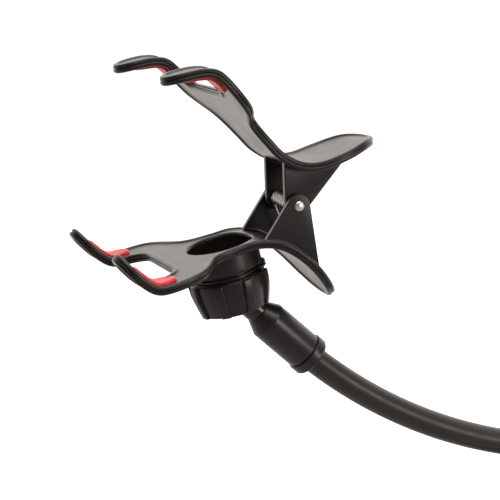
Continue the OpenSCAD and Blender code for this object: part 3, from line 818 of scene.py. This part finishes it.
def metal(name, lo, hi, r0, r1, stretch=None, scale=300, gs=0.15):
    m = bpy.data.materials.new(name)
    nt, b, tc = nodes_of(m)
    g = noise(nt, tc, scale, 4, 0.6, stretch)
    col = ramp(nt, g.outputs["Fac"], [(0.3, lo), (0.7, hi)])
    nt.links.new(col.outputs[0], b.inputs["Base Color"])
    rr = nt.nodes.new("ShaderNodeMapRange")
    rr.inputs["From Min"].default_value, rr.inputs["From Max"].default_value = 0.3, 0.7
    rr.inputs["To Min"].default_value, rr.inputs["To Max"].default_value = r0, r1
    nt.links.new(g.outputs["Fac"], rr.inputs["Value"])
    nt.links.new(rr.outputs[0], b.inputs["Roughness"])
    b.inputs["Metallic"].default_value = 1.0
    bump(nt, b, g.outputs["Fac"], gs, 0.00002)
    return m


# the jaw, joint and base materials carry the painted highlight on sharp edges
JAW = plastic("jaw_satin_black", (0.0130, 0.0117, 0.0106), (0.0175, 0.0157, 0.0142), 0.30, 0.38, edge_highlight=0.25)
JOINT = plastic("joint_satin_black", (0.0135, 0.0122, 0.0110), (0.0185, 0.0167, 0.0150), 0.30, 0.42, grain=2200, edge_highlight=0.25)
BALLM = plastic("ball_smooth_black", (0.018, 0.017, 0.016), (0.024, 0.0225, 0.021), 0.2, 0.3, grain=1600, gs=0.1)
ARM = plastic("arm_skin_black", (0.019, 0.0165, 0.0145), (0.025, 0.0217, 0.0190), 0.36, 0.44, grain=1500, gs=0.12)
BASE = plastic("base_satin_black", (0.020, 0.0185, 0.0170), (0.027, 0.0248, 0.0225), 0.32, 0.45, edge_highlight=0.25)
CUPM = plastic("cup_soft_black", (0.018, 0.018, 0.018), (0.026, 0.026, 0.026), 0.22, 0.34, grain=700, gs=0.08, spec=0.45)
RED = plastic("pad_red_rubber", (0.70, 0.022, 0.034), (0.84, 0.040, 0.050), 0.36, 0.50, grain=1800, gs=0.3, spec=0.4)
NICKEL = metal("rivet_bright_nickel", (0.86, 0.84, 0.79), (0.94, 0.92, 0.87), 0.30, 0.40, scale=500, gs=0.06)
WIRE = metal("wire_bright_steel", (0.82, 0.81, 0.79), (0.94, 0.93, 0.90), 0.10, 0.16, scale=260, gs=0.03)
STEEL = metal("stud_dull_steel", (0.10, 0.098, 0.095), (0.16, 0.155, 0.15), 0.34, 0.46, scale=340, gs=0.1)
CORE = metal("core_plain_metal", (0.45, 0.45, 0.45), (0.6, 0.6, 0.6), 0.35, 0.5, scale=300)


def dress(o, mat, body=None, nodes=()):
    o.data.materials.clear()
    o.data.materials.append(mat)
    if nodes:
        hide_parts(*nodes)
    if body:
        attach(o, body)
    return o


dress(upper, JAW, "upper", ["upper_jaw"])
dress(lower, JAW, "clip", ["lower_jaw"])
for n_, o in pads.items():
    dress(o, RED, "upper" if n_.startswith("upper") else "clip", [n_])
dress(rivet, NICKEL, "clip", ["pivot_pin"])
rivet.data.materials.append(STEEL)
for f_ in rivet.data.polygons:
    f_.material_index = int(sum(shank[i] for i in f_.vertices) >= 2)
dress(nut, JOINT, "nut", ["collar_nut"])
dress(ball, BALLM, "stem", ["ball_stud"])
dress(sleeve, JOINT, "stem", ["stem_sleeve"])
dress(ring, JOINT, "stem", ["stem_ring"])
dress(ferrule, JOINT, "base", ["ferrule"])
dress(fring, JOINT, "base", ["ferrule_ring"])
dress(housing, BASE, "base", ["base_housing"])
dress(cup, CUPM, "base", ["suction_cup"])
dress(lever, BASE, "lever", ["cam_lever"])
dress(lp, NICKEL, "lever", ["lever_pin"])
dress(spring, WIRE, None, ["clip_spring"])
dress(arm, ARM, None, ["arm_sleeve"])
dress(core, CORE, None, ["arm_core"])

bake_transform(spring)
# point of the arm's path nearest the joint and the path's direction there; arm and core get their transforms baked
i0 = int(np.argmin(np.linalg.norm(path - JB, axis=1)))
tdir = path[min(i0 + 3, len(path) - 1)] - path[i0 - 3]
tdir /= np.linalg.norm(tdir)
for o in (arm, core):
    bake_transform(o)

for n_, m_ in (("ferrule_screw", STEEL), ("cup_stud", STEEL)):
    o = NODES[n_]
    o.data.materials.clear()
    o.data.materials.append(m_)
    smooth_by(o.data, 30)

# ---------------------------------------------------------------- stage
W = 3.0
floor = bpy.data.meshes.new("floor")
th = np.linspace(0, 2 * math.pi, 96, endpoint=False)
floor.from_pydata([(W * math.cos(a), W * math.sin(a), -0.0002) for a in th], [], [list(range(96))])
fo = bpy.data.objects.new("floor", floor)
scene.collection.objects.link(fo)
fm = bpy.data.materials.new("floor_white")
fm.use_nodes = True
nt = fm.node_tree
nt.nodes.clear()
out = nt.nodes.new("ShaderNodeOutputMaterial")
seen = nt.nodes.new("ShaderNodeBsdfPrincipled")
seen.inputs["Base Color"].default_value = (0.9, 0.9, 0.9, 1)
seen.inputs["Roughness"].default_value = 0.9
seen.inputs["Emission Color"].default_value = (1, 1, 1, 1)
seen.inputs["Emission Strength"].default_value = 0.62
bounce = nt.nodes.new("ShaderNodeEmission")
tc = nt.nodes.new("ShaderNodeTexCoord")
dot = nt.nodes.new("ShaderNodeVectorMath")
dot.operation = "DOT_PRODUCT"
dot.inputs[1].default_value = (0.336, 0.942, 0)
nt.links.new(tc.outputs["Object"], dot.inputs[0])
fr_ = nt.nodes.new("ShaderNodeMapRange")
fr_.inputs["From Min"].default_value, fr_.inputs["From Max"].default_value = -0.35, 0.45
nt.links.new(dot.outputs["Value"], fr_.inputs["Value"])
fc = ramp(nt, fr_.outputs[0], [(0.0, (0.26, 0.245, 0.23)), (0.45, (0.62, 0.575, 0.53)), (1.0, (1.5, 1.4, 1.3))])
nt.links.new(fc.outputs[0], bounce.inputs[0])
lp_ = nt.nodes.new("ShaderNodeLightPath")
ms = nt.nodes.new("ShaderNodeMixShader")
nt.links.new(lp_.outputs["Is Camera Ray"], ms.inputs[0])
nt.links.new(bounce.outputs[0], ms.inputs[1])
nt.links.new(seen.outputs[0], ms.inputs[2])
nt.links.new(ms.outputs[0], out.inputs[0])
fo.data.materials.append(fm)

world = bpy.data.worlds.new("studio")
scene.world = world
world.use_nodes = True
wt = world.node_tree
wt.nodes.clear()
wo = wt.nodes.new("ShaderNodeOutputWorld")
bg = wt.nodes.new("ShaderNodeBackground")
bg2 = wt.nodes.new("ShaderNodeBackground")
mixs = wt.nodes.new("ShaderNodeMixShader")
lpath = wt.nodes.new("ShaderNodeLightPath")
wt.links.new(lpath.outputs["Is Camera Ray"], mixs.inputs[0])
wt.links.new(bg.outputs[0], mixs.inputs[1])
wt.links.new(bg2.outputs[0], mixs.inputs[2])
wt.links.new(mixs.outputs[0], wo.inputs[0])
bg2.inputs[0].default_value = (1, 1, 1, 1)
bg2.inputs[1].default_value = 1.05
# bright backdrop behind the object, dim room in front of it
wc = wt.nodes.new("ShaderNodeTexCoord")
sep = wt.nodes.new("ShaderNodeVectorMath")
sep.operation = "DOT_PRODUCT"
sep.inputs[1].default_value = (0.30, 0.94, 0.12)
wt.links.new(wc.outputs["Generated"], sep.inputs[0])
mr = wt.nodes.new("ShaderNodeMapRange")
mr.inputs["From Min"].default_value, mr.inputs["From Max"].default_value = -1, 1
wt.links.new(sep.outputs["Value"], mr.inputs["Value"])
wr = ramp(wt, mr.outputs[0], [(0.30, (0.07, 0.067, 0.064)), (0.62, (0.24, 0.228, 0.215)), (0.80, (0.85, 0.80, 0.75)), (0.95, (1.0, 0.94, 0.88))])
wt.links.new(wr.outputs[0], bg.inputs[0])
bg.inputs[1].default_value = 1.7


def area(name, direction, dist, size, power, target=(-0.13, 0, 0.19), col=(1, 0.985, 0.965), sy=None):
    d = Vector(direction).normalized()
    ld = bpy.data.lights.new(name, "AREA")
    ld.energy = power
    ld.color = col
    ld.shape = "RECTANGLE"
    ld.size = size
    ld.size_y = sy or size
    o = bpy.data.objects.new(name, ld)
    o.location = Vector(target) + d * dist
    o.rotation_mode = "QUATERNION"
    o.rotation_quaternion = d.to_track_quat("Z", "Y")
    scene.collection.objects.link(o)
    return o


area("key_right", (0.55, -0.77, 0.08), 1.1, 0.26, 2.6, sy=0.34, col=(1, 0.93, 0.86))
area("top_soft", (0.1, -0.35, 1.0), 1.2, 1.2, 14.0)

# ---------------------------------------------------------------- camera
cam = bpy.data.cameras.new("cam")
co_ = bpy.data.objects.new("cam", cam)
scene.collection.objects.link(co_)
fwd = Vector((0.3315, 0.928, -0.170)).normalized()
rgt = Vector((0.9416, -0.3366, 0)).normalized()
up = rgt.cross(fwd)
rgt = fwd.cross(up)
m4 = Matrix((rgt, up, -fwd)).transposed().to_4x4()
m4.translation = Vector((-0.3461, -0.6006, 0.2923))
co_.matrix_world = m4
cam.sensor_width = 36
cam.lens = 135.93
cam.clip_start, cam.clip_end = 0.02, 20
scene.camera = co_
scene.view_settings.view_transform = "Standard"
scene.view_settings.look = "None"
